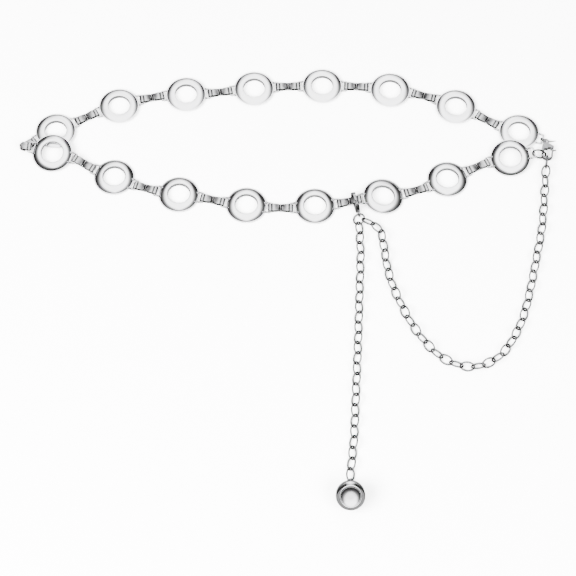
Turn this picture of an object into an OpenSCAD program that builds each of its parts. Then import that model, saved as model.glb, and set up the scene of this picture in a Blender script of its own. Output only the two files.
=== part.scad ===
// Metal waist chain laid flat: sixteen rings in a folded loop, a swag chain, a tail and a drop.
// Lengths are in millimetres. The surface is z = 0 and the belt's two rows run along x.

/* [Rings] */
// Outer diameter of a ring
ring_d = 24; // [20:0.5:28]
// Diameter of the hole in a ring
ring_hole_d = 14; // [11:0.5:16]
// Thickness of a ring at its crown
ring_t = 2.8; // [2:0.1:4]
// Depth of the shallow dish in a ring's back
dish = 0.25; // [0.1:0.05:0.5]

/* [Wire ears on the rings] */
// Wire diameter of the ears
ear_wire = 0.9; // [0.7:0.05:1.2]
// Clear width inside an ear
ear_gap = 5.8; // [5.4:0.1:6.6]
// From the ring's rim to the middle of the ear's bar
ear_out = 3.15; // [2.8:0.05:3.6]
// Height of the ear's wire over the ring's back
ear_h = 1.4; // [1.2:0.05:1.6]

/* [Folded strip connectors] */
// Width of a half at the ear
strip_w = 4.8; // [4:0.1:5.2]
// Width of a half at the waist
neck_w = 4; // [3:0.1:4.6]
// Thickness of the strip's metal
strip_t = 0.5; // [0.4:0.05:0.7]
// Clear height of the slot inside the fold
slot_h = 1.64; // [1.4:0.02:1.8]
// Middle of the ear's fold to the middle of the connector
half_l = 6.45; // [5.5:0.05:7.5]
// Gap between the two halves at the waist
neck_gap = 0.3; // [0.2:0.05:0.6]
// Wire diameter of the loop at the waist
neck_wire = 0.8; // [0.6:0.05:1]
// Width of the strap left between the waist's notches
strap_w = 1.6; // [1.4:0.1:2.2]

/* [Chains] */
// Wire diameter of the links
link_wire = 1.1; // [0.9:0.05:1.3]
// Overall length of a link
link_l = 9.2; // [8:0.1:10]
// Overall width of a link
link_w = 6.2; // [5.4:0.1:7]
// Roll of a link to either side
link_roll = 34; // [31:1:42]
// Wanted spacing of the swag's links
swag_pitch = 6.65; // [6.5:0.01:6.75]
// Spacing of the tail's links
tail_pitch = 6.7; // [6.6:0.01:6.85]
// Number of links in the tail
tail_links = 25; // [12:1:30]
// How far the swag drops below the line between its ends
swag_drop = 116; // [80:1:130]

/* [Lobster clasps] */
// Outer diameter of the eye
eye_d = 3.9; // [3.6:0.1:5]
// Hole in the eye
eye_hole = 2.4; // [2.2:0.1:2.6]
// Thickness of the eye
eye_t = 0.9; // [0.8:0.1:1.2]
// Thickness of the claw
claw_t = 2.4; // [2:0.1:3]
// Eye's middle to the start of the opening
shank_l = 6; // [5:0.1:8]
// Length of the opening
mouth_l = 7; // [6:0.1:8]
// Width of the opening
mouth_w = 4.8; // [4.2:0.1:5.4]
// Thickness of the claw's arm
arm_t = 1.2; // [1:0.1:1.5]
// Thickness of the lever
lever_t = 1.1; // [0.9:0.05:1.4]
// Width of the lever across the claw
lever_w = 1.3; // [1:0.1:1.6]

/* [Drop] */
// Diameter of the drop at the end of the tail
drop_d = 16.8; // [14:0.2:20]
// Diameter of its raised lip
lip_d = 12.6; // [11:0.2:14]
// How far its mouth leans towards the tail's end
drop_lean = 34; // [0:1:40]

/* [Hidden] */
$fn = 48;

clear = 0.1;
tiny = 0.01;
bright = [0.82, 0.82, 0.84];
pale = [0.74, 0.75, 0.78];

ring_r = ring_d / 2;
hole_r = ring_hole_d / 2;
reach = ring_r + ear_out;
fold_r = slot_h / 2 + strip_t;

// Headings of the rings and connectors along each row, left to right, in degrees
near_turn = [-16, -24, -10, -8, 6, 10.5, 24.5, 11.5];
near_link_turn = [-30, -17, -13.5, -0.5, 9.5, 17.5, 25.5];
far_turn = [29, 19.5, 3.5, 5.5, 0, -9, -24.5, -21];
far_link_turn = [28, 11.5, 8.5, 2.5, -3, -16.5, -32];
// Bar to bar over a connector: the near row lies slack and the far row is drawn out
near_span = 11.8;
far_span = 12.6;
near_start = [-145.5, 86.2];
far_start = [-144.4, 102.7];

function dir(a) = [cos(a), sin(a)];
function lift2(p, z) = [p[0], p[1], z];
function step(turns, links, span, i) =
    reach * dir(turns[i - 1]) + span * dir(links[i - 1]) + reach * dir(turns[i]);
function near_at(i) = i == 0 ? near_start
    : near_at(i - 1) + step(near_turn, near_link_turn, near_span, i);
function far_at(i) = i == 0 ? far_start
    : far_at(i - 1) + step(far_turn, far_link_turn, far_span, i);

// Which near rings lean, how much, and towards which heading their raised side lies
near_lean = [10, 0, 0, 0, 0, 4.2, 0, 8.6];
near_rise = [82, 0, 0, 0, 0, 190.5, 0, 61];

// A point of near ring i: d from its centre on heading a, h over its back
function near_point(i, a, d, h) = let(
    l = near_lean[i], u = d * cos(a - near_rise[i]), v = d * sin(a - near_rise[i]),
    f = u * cos(l) - h * sin(l),
    p = near_at(i) + f * dir(near_rise[i]) + v * dir(near_rise[i] + 90)
) [p[0], p[1], (u + ring_r) * sin(l) + h * cos(l)];
// The ear bars of near ring i: side 1 is on its heading, side -1 opposite
function near_bar(i, side) =
    near_point(i, near_turn[i] + (side > 0 ? 0 : 180), reach, ear_h);
// The far rings lie face down, so their ears are measured from the top
function far_bar(i, side) =
    lift2(far_at(i) + side * reach * dir(far_turn[i]), ring_t - ear_h);

// Lay children from point p towards point q, with a roll about that line
module along(p, q, roll = 0) {
    d = q - p;
    translate(p)
    rotate([roll, -asin(d[2] / norm(d)), atan2(d[1], d[0])])
    children();
}

// A closed wire loop in the xy plane: overall length on x, overall width on y
module wire_loop(long, wide, wire, corner) {
    x = (long - wire) / 2 - corner;
    y = (wide - wire) / 2 - corner;
    for (k = [0:3]) {
        sx = (k == 0 || k == 3) ? 1 : -1;
        sy = (k < 2) ? 1 : -1;
        translate([sx * x, sy * y, 0])
        rotate([0, 0, 90 * k])
        rotate_extrude(angle = 90) translate([corner, 0]) circle(d = wire);
    }
    for (s = [-1, 1]) {
        translate([-x, s * (y + corner), 0])
        rotate([0, 90, 0]) cylinder(d = wire, h = 2 * x);
        if (y > tiny) {
            translate([s * (x + corner), -y, 0])
            rotate([-90, 0, 0]) cylinder(d = wire, h = 2 * y);
        }
    }
}

// An oval link: half circles at both ends
module oval(long, wide, wire) {
    r = (wide - wire) / 2;
    x = (long - wire) / 2 - r;
    for (s = [0, 1]) {
        translate([(1 - 2 * s) * x, 0, 0])
        rotate([0, 0, 180 * s - 90])
        rotate_extrude(angle = 180) translate([r, 0]) circle(d = wire);
    }
    for (s = [-1, 1]) {
        translate([-x, s * r, 0])
        rotate([0, 90, 0]) cylinder(d = wire, h = 2 * x);
    }
}

// One ring, face up, its back on z = 0, with an ear at both ends of its x axis
module ring() {
    edge = ring_t * 0.22;
    mid = (ring_r + hole_r) / 2;
    half = (ring_r - hole_r) / 2;
    difference() {
        rotate_extrude() ring_section(mid, half, edge);
        translate([0, 0, dish - 40]) difference() {
            cylinder(r = mid + half * 0.6, h = 40);
            translate([0, 0, -1]) cylinder(r = mid - half * 0.6, h = 42);
        }
    }
    for (s = [0, 1]) rotate([0, 0, 180 * s]) ear();
}

// Half-round section: a low straight edge at both sides and a crowned face
module ring_section(mid, half, edge) {
    sag = ring_t - edge;
    r = (half * half + sag * sag) / (2 * sag);
    intersection() {
        translate([mid - half, 0]) square([2 * half, ring_t]);
        translate([mid, ring_t - r]) circle(r = r);
    }
}

module ear() {
    corner = ear_wire;
    y = (ear_gap + ear_wire) / 2 - corner;
    x = reach - corner;
    inset = ring_r - half_wall() * 0.5;
    for (s = [-1, 1]) {
        translate([inset, s * (y + corner), ear_h])
        rotate([0, 90, 0]) cylinder(d = ear_wire, h = x - inset);
        translate([x, s * y, ear_h])
        rotate([0, 0, s > 0 ? 0 : -90])
        rotate_extrude(angle = 90) translate([corner, 0]) circle(d = ear_wire);
    }
    translate([reach, -y, ear_h])
    rotate([-90, 0, 0]) cylinder(d = ear_wire, h = 2 * y);
}
function half_wall() = (ring_r - hole_r) / 2;

module near_ring(i) {
    p = near_at(i);
    color(bright)
    translate([p[0], p[1], ring_r * sin(near_lean[i])])
    rotate([0, 0, near_rise[i]])
    rotate([0, -near_lean[i], 0])
    rotate([0, 0, near_turn[i] - near_rise[i]])
    ring();
}

module far_ring(i) {
    p = far_at(i);
    color(bright)
    translate([p[0], p[1], ring_t])
    rotate([180, 0, far_turn[i]])
    ring();
}

// One folded half from the middle of its ear fold at p towards the waist at w
module half_link(p, w, roll) {
    long = norm(w - p) - neck_gap / 2;
    notch = fold_r + 1.5;
    along(p, w, roll)
    difference() {
        intersection() {
            rotate([90, 0, 0]) translate([0, 0, -strip_w])
            linear_extrude(2 * strip_w) fold_side(long);
            translate([0, 0, -2 * fold_r])
            linear_extrude(4 * fold_r) polygon([
                [-fold_r - 1, -strip_w / 2], [0, -strip_w / 2],
                [long, -neck_w / 2], [long + 1, -neck_w / 2],
                [long + 1, neck_w / 2], [long, neck_w / 2],
                [0, strip_w / 2], [-fold_r - 1, strip_w / 2]
            ]);
        }
        for (s = [-1, 1])
            translate([long - notch, s > 0 ? strap_w / 2 : -strap_w / 2 - 3, -2 * fold_r])
            cube([notch + 1, 3, 4 * fold_r]);
    }
}

// Side view of a half: a flat closed fold, round at both ends
module fold_side(long) {
    x = long - fold_r;
    difference() {
        union() {
            circle(r = fold_r);
            translate([x, 0]) circle(r = fold_r);
            translate([0, -fold_r]) square([x, 2 * fold_r]);
        }
        circle(d = slot_h);
        translate([x, 0]) circle(d = slot_h);
        translate([0, -slot_h / 2]) square([x, slot_h]);
    }
}

neck_loop_l = 2 * (neck_gap / 2 + fold_r) + neck_wire;
neck_loop_w = strap_w + 2 * neck_wire + 4 * clear;

// Two halves and their waist loop between the bars at p and q
module connector(p, q, roll_p = 0, roll_q = 0, shift = 0) {
    u = (q - p) / norm(q - p);
    w = (p + q) / 2 + shift * u;
    color(pale) {
        half_link(w - half_l * u, w, roll_p);
        half_link(w + half_l * u, w, roll_q);
        along(w, q, (roll_p - roll_q) / 2)
        wire_loop(neck_loop_l, neck_loop_w, neck_wire, neck_wire * 0.6);
    }
}

// A connector never sinks into the surface: its slots have room for the bars
function seated(p) = [p[0], p[1], max(p[2], fold_r + 0.05)];
module near_link(i, roll_p = 0, roll_q = 0) {
    connector(seated(near_bar(i, 1)), seated(near_bar(i + 1, -1)), roll_p, roll_q);
}
module far_link(i, shift = 0) {
    connector(far_bar(i, 1), far_bar(i + 1, -1), 0, 0, shift);
}

// The connector at the left end is folded back under itself
fold_a = near_bar(0, -1);
fold_turn = 176;
fold_z = 4.9;
fold_slip = 0.4;
fold_lift = 0.12;
fold_roll = -12;
fold_wire = 0.62;
fold_loop_w = strap_w + 2 * fold_wire + 13 * clear;
module fold_link() {
    a0 = fold_a - lift2(fold_slip * dir(fold_turn), -fold_lift);
    run = half_l - neck_gap / 2 - fold_r;
    seat_a = a0 + lift2(sqrt(run * run - pow(fold_z - a0[2], 2)) * dir(fold_turn), fold_z - a0[2]);
    seat_b = lift2(seat_a, fold_r + 0.05);
    far_end = seated(lift2(far_bar(0, -1), 0));
    bar_b = far_end + 0.2 * (far_end - seat_b) / norm(far_end - seat_b);
    out_a = (seat_a - a0) / norm(seat_a - a0);
    back_b = seat_b - bar_b;
    out_b = back_b / norm(back_b);
    color(pale) {
        half_link(a0, seat_a + (neck_gap / 2 + fold_r) * out_a, fold_roll);
        half_link(bar_b, seat_b + (neck_gap / 2 + fold_r) * out_b, 0);
        translate((seat_a + seat_b) / 2)
        rotate([0, 0, (fold_turn + atan2(out_b[1], out_b[0])) / 2])
        rotate([0, 90, 0])
        rotate([0, 0, -fold_roll / 2])
        wire_loop(fold_z - seat_b[2] + fold_wire, fold_loop_w, fold_wire, fold_wire * 0.6);
    }
}

module near_ring_1() near_ring(0);
module near_ring_2() near_ring(1);
module near_ring_3() near_ring(2);
module near_ring_4() near_ring(3);
module near_ring_5() near_ring(4);
module near_ring_6() near_ring(5);
module near_ring_7() near_ring(6);
module near_ring_8() near_ring(7);
module far_ring_1() far_ring(0);
module far_ring_2() far_ring(1);
module far_ring_3() far_ring(2);
module far_ring_4() far_ring(3);
module far_ring_5() far_ring(4);
module far_ring_6() far_ring(5);
module far_ring_7() far_ring(6);
module far_ring_8() far_ring(7);
module near_link_1() near_link(0, 6, 0);
module near_link_2() near_link(1);
module near_link_3() near_link(2);
module near_link_4() near_link(3);
module near_link_5() near_link(4);
module near_link_6() near_link(5);
module near_link_7() near_link(6, 0, -5);
module far_link_1() far_link(0);
module far_link_2() far_link(1);
module far_link_3() far_link(2);
module far_link_4() far_link(3);
module far_link_5() far_link(4);
module far_link_6() far_link(5);
module far_link_7() far_link(6, 0.08);

// A lobster clasp in its own plane: the eye at the origin, the claw along x, the gate on +y
low_y = -eye_d / 2;
mouth_y = low_y + arm_t + mouth_w / 2;
top_y = low_y + arm_t + mouth_w + lever_t;
mouth_end = shank_l + mouth_l;
mid_claw = (top_y + low_y) / 2;
pin_x = shank_l - 0.9;
pin_y = top_y - lever_t;
pin_r = 0.45;
knuckle_r = 1.1;
gate_end = mouth_end - 1.5;

module clasp_body() {
    out_r = (top_y - low_y) / 2;
    in_r = mouth_w / 2;
    difference() {
        union() {
            cylinder(d = eye_d, h = eye_t, center = true);
            difference() {
                translate([0, 0, -claw_t / 2]) linear_extrude(claw_t) difference() {
                    union() {
                        polygon([
                            [1.5, -1], [shank_l * 0.55, low_y], [mouth_end - in_r, low_y],
                            [mouth_end - in_r, top_y], [shank_l * 0.6, top_y], [1.5, 1]
                        ]);
                        translate([mouth_end + 1.3 - out_r, mid_claw]) circle(r = out_r);
                    }
                    mouth();
                    translate([pin_x, mouth_y]) square([gate_end - pin_x + 0.15, 8]);
                }
            }
        }
        cylinder(d = eye_hole, h = 4, center = true);
        translate([pin_x - knuckle_r - 0.15, pin_y - knuckle_r - 0.15, -lever_w / 2 - clear])
        cube([8, 8, lever_w + 2 * clear]);
    }
    translate([pin_x, pin_y, 0]) cylinder(r = pin_r, h = claw_t, center = true);
}

// The claw's opening: a rectangle with round corners
module mouth() {
    r = mouth_w * 0.32;
    for (x = [shank_l + r, mouth_end - r]) for (y = [-1, 1])
        translate([x, mouth_y + y * (mouth_w / 2 - r)]) circle(r = r);
    translate([shank_l + r, mouth_y - mouth_w / 2]) square([mouth_l - 2 * r, mouth_w]);
    translate([shank_l, mouth_y - mouth_w / 2 + r]) square([mouth_l, mouth_w - 2 * r]);
}

module clasp_lever() {
    difference() {
        union() {
            cylinder(r = knuckle_r, h = lever_w, center = true);
            translate([0, 0, -lever_w / 2]) cube([gate_end - pin_x, lever_t, lever_w]);
            translate([1.7, lever_t * 0.5, 0]) rotate([-90, 0, 20]) cylinder(d1 = 1.1, d2 = 0.7, h = 2.3);
        }
        cylinder(r = pin_r + clear, h = 4, center = true);
    }
}

// The end clasp hangs from the last far ring and lies towards the last near ring
eye_turn = -34;
eye_off = eye_d / 2 + ear_wire / 2 + 2 * clear;
end_eye = far_bar(7, 1) + lift2(eye_off * dir(eye_turn), 0.15);
end_turn = -98;
end_rise = 8;
module end_frame() {
    translate(end_eye) rotate([0, -end_rise, end_turn]) children();
}
spike_l = 4.6;
spike_turn = 17;
module end_clasp() {
    color(bright) end_frame() {
        clasp_body();
        translate([0, eye_d / 2 - 0.3, 0])
        rotate([-90, 0, spike_turn])
        cylinder(d1 = 0.9, d2 = 0.45, h = spike_l);
    }
}
module end_lever() {
    color(bright) end_frame() translate([pin_x, pin_y, 0]) clasp_lever();
}

// Small upright loop between the last far ear and the clasp's eye
eye_wire = 0.7;
eye_ring_h = 3;
module end_eye_ring() {
    back = (ear_wire + eye_wire) / 2 + 2 * clear;
    long = back + eye_off + eye_wire / 2;
    a = far_bar(7, 1) - lift2(back * dir(eye_turn), 0);
    color(pale)
    translate([a[0], a[1], eye_ring_h / 2 + clear / 2])
    rotate([90, 0, eye_turn])
    translate([(long - eye_wire) / 2, 0, 0])
    oval(long, eye_ring_h, eye_wire);
}

// Ring on the last near ear, caught by the clasp
end_ring_l = link_l + 0.6;
end_ring_off = [3.03, -0.76, -0.71];
end_ring_tip = [56, 23.4, -5.3];
module end_ring() {
    color(pale)
    translate(near_bar(7, 1) + end_ring_off)
    rotate(end_ring_tip)
    oval(end_ring_l, link_w, link_wire);
}

// The swag clasp stands upright around the connector beside near ring 6
swag_turn = 105;
swag_share = 0.78;
swag_hold = near_bar(4, 1) * (1 - swag_share) + near_bar(5, -1) * swag_share;
swag_eye = lift2([swag_hold[0], swag_hold[1]] - (shank_l + mouth_l / 2) * dir(swag_turn), 0.05 - low_y);
module swag_frame() {
    translate(swag_eye) rotate([90, 0, swag_turn]) children();
}
module swag_clasp() {
    color(bright) swag_frame() clasp_body();
}
module swag_lever() {
    color(bright) swag_frame() translate([pin_x, pin_y, 0]) clasp_lever();
}

// Ring through the swag clasp's eye, carrying the tail and the swag's end
swag_ring_r = 3.5;
swag_ring_turn = -90;
swag_ring_roll = 24;
swag_ring_mid = swag_eye + lift2(swag_ring_r * dir(swag_ring_turn), 0);
module swag_ring() {
    color(pale)
    translate(swag_ring_mid) rotate([swag_ring_roll, 0, swag_ring_turn])
    rotate_extrude() translate([swag_ring_r, 0]) circle(d = link_wire);
}

// A link between two joints
module link(p, q, roll) {
    along(p, q, roll) translate([norm(q - p) / 2, 0, 0]) oval(link_l, link_w, link_wire);
}

// The swag's route: how far along from its start to its end, and how far below that line
swag_past = 2.7;
swag_top = 3.42;
swag_from = end_eye + lift2((mouth_end + swag_past + swag_pitch / 2) * dir(end_turn)
    + mid_claw * dir(end_turn + 90), swag_top - end_eye[2]);
// The swag's last link hooks the ring's raised side
hook_at = 68;
hook_turn = -25;
hook = swag_ring_mid + [
    swag_ring_r * sin(hook_at) * cos(swag_ring_roll), -swag_ring_r * cos(hook_at),
    swag_ring_r * sin(hook_at) * sin(swag_ring_roll)
];
last_mid = hook + lift2(((link_l - link_wire) / 2 - link_wire - 1.5 * clear) * dir(hook_turn), 0);
swag_to = last_mid + lift2(swag_pitch / 2 * dir(hook_turn), 0);
swag_route = [
    [0, 0], [0.02, 0.17], [0.045, 0.35], [0.085, 0.51], [0.125, 0.66], [0.17, 0.8],
    [0.23, 0.91], [0.33, 1], [0.48, 1], [0.64, 0.89], [0.77, 0.7], [0.86, 0.5],
    [0.915, 0.33], [0.94, 0.17], [0.955, 0.06], [1, 0]
];
function flat(p) = [p[0], p[1]];
swag_line = [for (r = swag_route)
    flat(swag_from) * (1 - r[0]) + flat(swag_to) * r[0] - [0, r[1] * swag_drop]];

// Points spaced evenly along a smooth curve through a list of points
function knot(list, i) = list[max(0, min(len(list) - 1, i))];
function curve(a, b, c, d, t) =
    b + (c - a) * t / 2 + (2 * a - 5 * b + 4 * c - d) * t * t / 2
    + (3 * b - a - 3 * c + d) * t * t * t / 2;
fine = 8;
function smooth(list) = [
    for (i = [0:len(list) - 2]) for (k = [0:fine - 1])
        curve(knot(list, i - 1), list[i], list[i + 1], knot(list, i + 2), k / fine),
    list[len(list) - 1]
];
function runs(list, i = 0, sum = 0) = i >= len(list) - 1 ? [sum]
    : concat([sum], runs(list, i + 1, sum + norm(list[i + 1] - list[i])));
function at_run(list, run, s, i = 0) = i >= len(list) - 2 || run[i + 1] >= s
    ? list[i] + (list[i + 1] - list[i]) * (s - run[i]) / (run[i + 1] - run[i])
    : at_run(list, run, s, i + 1);

swag_fine = smooth(swag_line);
swag_run = runs(swag_fine);
swag_total = swag_run[len(swag_run) - 1];
swag_count = ceil(swag_total / (swag_pitch + 0.02));
swag_joints = [for (k = [0:swag_count]) let(e = min(k, swag_count - k))
    lift2(at_run(swag_fine, swag_run, swag_total * k / swag_count),
        k == swag_count ? hook[2] : end_height(e))];

// Links at a chain's hooked ends stand steeper, then settle
settle = [90, 22, 46, 26, 42, 30, 38];
function settled(k) = k < len(settle) ? settle[k] : link_roll;
function rest_height(roll) = (link_w - link_wire) / 2 * sin(roll) + link_wire / 2 + 0.03;
function end_height(e) = e == 0 ? swag_top : max(rest_height(link_roll), 2.47 - 0.06 * (e - 1));

module swag_chain() {
    n = swag_count;
    color(pale) {
        translate(swag_joints[0] - lift2(swag_pitch / 2 * dir(end_turn), 0))
        rotate([90, 0, end_turn]) oval(link_l, link_w, link_wire);
        translate(lift2(last_mid, swag_joints[n][2]))
        rotate([90, 0, hook_turn]) oval(link_l, link_w, link_wire);
        for (k = [0:n - 1]) {
            e = min(k + 1, n - k);
            link(swag_joints[k], swag_joints[k + 1], (k % 2 == 0 ? 1 : -1) * settled(e));
        }
    }
}

// The tail runs down from the ring in a slight drift
tail_from = swag_ring_mid + lift2((swag_ring_r - link_wire / 2 - clear) * dir(swag_ring_turn), 0);
function tail_turn(k) = -90 + (k < 3 ? 2 : k < 12 ? -2.4 : k < 21 ? -3 : -6);
function tail_at(k) = k == 0 ? flat(tail_from) : tail_at(k - 1) + tail_pitch * dir(tail_turn(k - 1));
function tail_joint(k) = lift2(tail_at(k), k == 0 ? tail_from[2] : rest_height(link_roll));
module tail_chain() {
    color(pale)
    for (k = [0:tail_links - 1])
        link(tail_joint(k), tail_joint(k + 1), (k % 2 == 0 ? -1 : 1) * link_roll);
}

// The drop: an open round cup on its back, its mouth leaning down the tail
drop_r = drop_d / 2;
drop_wall = 1;
drop_loop = 1.3;
drop_loop_wire = 0.9;
drop_dip = 38;
drop_ring_r = 2.4;
drop_ring_wire = 0.8;
tail_end = tail_joint(tail_links);
drop_ear = (drop_r + 0.9) * [cos(drop_dip), -sin(drop_dip)];
link_over = (link_l - link_wire - tail_pitch) / 2;
drop_ring_back = drop_ring_r - ((link_wire + drop_ring_wire) / 2 + 2 * clear - link_over);
drop_at = flat(tail_end) - [0, drop_ring_back + drop_ring_r + drop_ear[0]];

module drop() {
    color(bright) translate([drop_at[0], drop_at[1], drop_r]) {
        rotate([drop_lean, 0, 0]) cup();
        translate([0, drop_ear[0], drop_ear[1]]) rotate([90, 0, 90])
        rotate_extrude() translate([drop_loop, 0]) circle(d = drop_loop_wire);
    }
}

module cup() {
    lip_h = sqrt(drop_r * drop_r - lip_d * lip_d / 4);
    difference() {
        sphere(r = drop_r);
        sphere(r = drop_r - drop_wall);
        translate([0, 0, lip_h]) cylinder(r = drop_r, h = drop_r);
    }
    translate([0, 0, lip_h - 0.3]) rotate_extrude() translate([lip_d / 2 - 0.2, 0]) circle(d = 1.3);
}

module drop_ring() {
    z0 = drop_r + drop_ear[1];
    z1 = tail_end[2];
    mid = [tail_end[0], drop_at[1] + drop_ear[0] + drop_ring_r, (z0 + z1) / 2];
    color(pale) translate(mid)
    rotate([tail_links % 2 == 0 ? 30 : -30, asin((z0 - z1) / (2 * drop_ring_r)), 90])
    rotate_extrude() translate([drop_ring_r, 0]) circle(d = drop_ring_wire);
}

near_ring_1();
near_ring_2();
near_ring_3();
near_ring_4();
near_ring_5();
near_ring_6();
near_ring_7();
near_ring_8();
far_ring_1();
far_ring_2();
far_ring_3();
far_ring_4();
far_ring_5();
far_ring_6();
far_ring_7();
far_ring_8();
near_link_1();
near_link_2();
near_link_3();
near_link_4();
near_link_5();
near_link_6();
near_link_7();
far_link_1();
far_link_2();
far_link_3();
far_link_4();
far_link_5();
far_link_6();
far_link_7();
fold_link();
end_clasp();
end_lever();
end_eye_ring();
end_ring();
swag_clasp();
swag_lever();
swag_ring();
swag_chain();
tail_chain();
drop();
drop_ring();
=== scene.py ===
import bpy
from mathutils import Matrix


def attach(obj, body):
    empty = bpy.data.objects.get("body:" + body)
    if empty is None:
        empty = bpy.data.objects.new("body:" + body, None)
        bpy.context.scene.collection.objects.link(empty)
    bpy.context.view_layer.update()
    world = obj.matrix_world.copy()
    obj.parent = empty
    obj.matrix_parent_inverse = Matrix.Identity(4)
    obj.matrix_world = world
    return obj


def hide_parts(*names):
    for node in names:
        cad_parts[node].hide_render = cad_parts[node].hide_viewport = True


bl_info = {
    "name": "Waist Chain",
    "version": (1, 0, 0),
    "blender": (4, 5, 0),
    "location": "3D View > Sidebar > Waist Chain",
    "description": "Makes the polished pieces of a metal waist chain and its plain studio",
    "category": "Object",
}

import math

import bmesh
import bpy
import numpy as np
from bpy.props import FloatProperty, FloatVectorProperty, IntProperty, PointerProperty
from mathutils import Matrix, Vector

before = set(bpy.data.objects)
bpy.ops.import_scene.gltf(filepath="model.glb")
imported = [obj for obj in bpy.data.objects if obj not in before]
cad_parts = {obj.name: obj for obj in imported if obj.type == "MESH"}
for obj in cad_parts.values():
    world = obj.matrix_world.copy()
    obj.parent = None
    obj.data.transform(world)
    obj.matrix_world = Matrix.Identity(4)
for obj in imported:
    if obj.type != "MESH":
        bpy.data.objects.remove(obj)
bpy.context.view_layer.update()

MM = 0.001
WELD = 0.001 * MM  # corners nearer than this are one
LEVEL = 0.9999  # cosine from which a face counts as square to an axis
FLAT_TURN = math.radians(0.5)  # faces that meet at less than this are one flat
SHARP_TURN = math.radians(60)  # edges that turn more than this are rounded
NEAREST = 0.01  # metres from the camera at which things start to show
LOW_PART = 0.05  # share of the drop's width, over the floor, in which its surface is round
POLE = -89.9  # degrees at which a turned section starts, just off its axis

# Powers of the domed forms: 1 is a slope, 2 a parabola, and higher ones stay flat longer
DOME, FACE_DOME, BOWL_DOME = 2.5, 1.6, 5

# Steps in which the forms are made
TURN_STEPS = 128  # round a ring and the drop
DOME_STEPS, BOWL_STEPS, LOOP_STEPS = 16, 26, 40  # along a ring's dome, the bowl and the drop's loop
FOLD_STEPS, FLAT_STEPS, WAIST_STEPS = 12, 30, 8  # along a strip's fold, its flat and its waist
WIRE_SIDES, LOOP_SIDES = 14, 12  # round an ear's and the drop's wire, and round a waist loop's

BELT = "belt"
NEAR_RINGS = [f"near_ring_{i}" for i in range(1, 9)]
FAR_RINGS = [f"far_ring_{i}" for i in range(1, 9)]
NEAR_LINKS = [f"near_link_{i}" for i in range(1, 8)]
FAR_LINKS = [f"far_link_{i}" for i in range(1, 8)] + ["fold_link"]

# Corners across a strip, from edge to edge, as shares of half its width
STRIP_ACROSS = (-1.0, -0.97, -0.88, -0.6, -0.2, 0.2, 0.6, 0.88, 0.97, 1.0)
CRIMP_SHADE = 0.8  # painted shade in a crimp, where 1 is all of it
LOOP_BEND = 0.75  # radius of a waist loop's bends, as a share of its wire
HAIRLINE_SIZE, HAIRLINE_DEPTH = 2600.0, 0.0015 * MM  # noise scale and depth of the plating's lines

# Greys of the surroundings as (height, grey): dark low down, which draws the metal's outlines
SIDE_SKY = (
    (0.0, 0.02), (1.0, 1.0), (0.03, 0.004), (0.35, 0.008), (0.5, 0.02), (0.6, 0.04), (0.7, 0.085),
    (0.78, 0.2), (0.85, 0.5), (0.9, 1.0),
)
AHEAD_SKY = ((0.0, 0.05), (1.0, 1.0), (0.05, 0.02), (0.15, 0.06), (0.3, 0.3), (0.5, 0.75), (0.65, 1.0))
BEHIND_SKY = (
    (0.0, 0.05), (1.0, 1.0), (0.04, 0.006), (0.5, 0.01), (0.66, 0.03), (0.72, 0.2), (0.78, 0.9),
    (0.82, 1.0),
)
# Slope and start of the share that the surroundings ahead and at the sides take
AHEAD_BLEND, SIDE_BLEND = (3.0, 0.5), (2.6, 0.0)

# Name, place in metres and share of the power of each lamp
LAMPS = (("left_lamp", (-1.0, -0.7, 1.2), 1.0), ("right_lamp", (0.9, -1.0, 1.3), 0.6))
LAMP_LONG, LAMP_WIDE = 1.3, 0.9


# Sizes and colours that a user would change


def length(name, description, value):
    """A length property, with its default in millimetres."""
    return FloatProperty(
        name=name, description=description, default=value * MM, precision=5, unit="LENGTH"
    )


def colour(name, description, value):
    """A colour property."""
    return FloatVectorProperty(
        name=name, description=description, default=value, size=3, subtype="COLOR", min=0.0, max=1.0
    )


def degrees(name, description, value):
    """An angle property, with its default in degrees."""
    return FloatProperty(
        name=name, description=description, default=math.radians(value), subtype="ANGLE"
    )


class RingSizes(bpy.types.PropertyGroup):
    """Sizes of the crowned rings and their wire ears."""

    outer: length("Outer Diameter", "Across a ring", 24.6)
    hole: length("Hole Diameter", "Across a ring's hole", 13.6)
    thick: length("Thickness", "From the flat of the back to the crown", 2.8)
    shoulder: length("Shoulder", "Width of the crown's domed outer part", 5.1)
    crown: length("Crown Height", "How far that part falls to the rim", 1.75)
    rim: length("Rim Rounding", "Width of the rounding of the rim", 0.4)
    fall: length("Face Fall", "How far the face falls from the crown to the hole", 0.12)
    hole_bevel: length("Hole Bevel", "Rounding of the front edge at the hole", 0.22)
    corner: length("Corner Radius", "Rounding of the back's edge at the hole", 0.2)
    back_round: length("Back Dome", "Width of the domed outer part of the back", 4.0)
    back_rise: length("Back Rise", "How far the back rises to the rim", 0.95)
    ear_wire: length("Ear Wire", "Diameter of an ear's wire", 0.9)
    ear_gap: length("Ear Gap", "Clear width inside an ear", 5.8)
    ear_out: length("Ear Reach", "From the rim to the middle of an ear's bar", 2.85)
    ear_root: length("Ear Root", "How far an ear's wire starts inside the rim", 1.65)
    ear_height: length("Ear Height", "Height of an ear's wire over the back", 1.4)
    solder: length("Solder Size", "Across the solder where a wire meets the rim", 1.35)
    solder_flat: FloatProperty(
        name="Solder Flatness", description="Its length and height, as a share of that", default=0.75
    )


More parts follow.
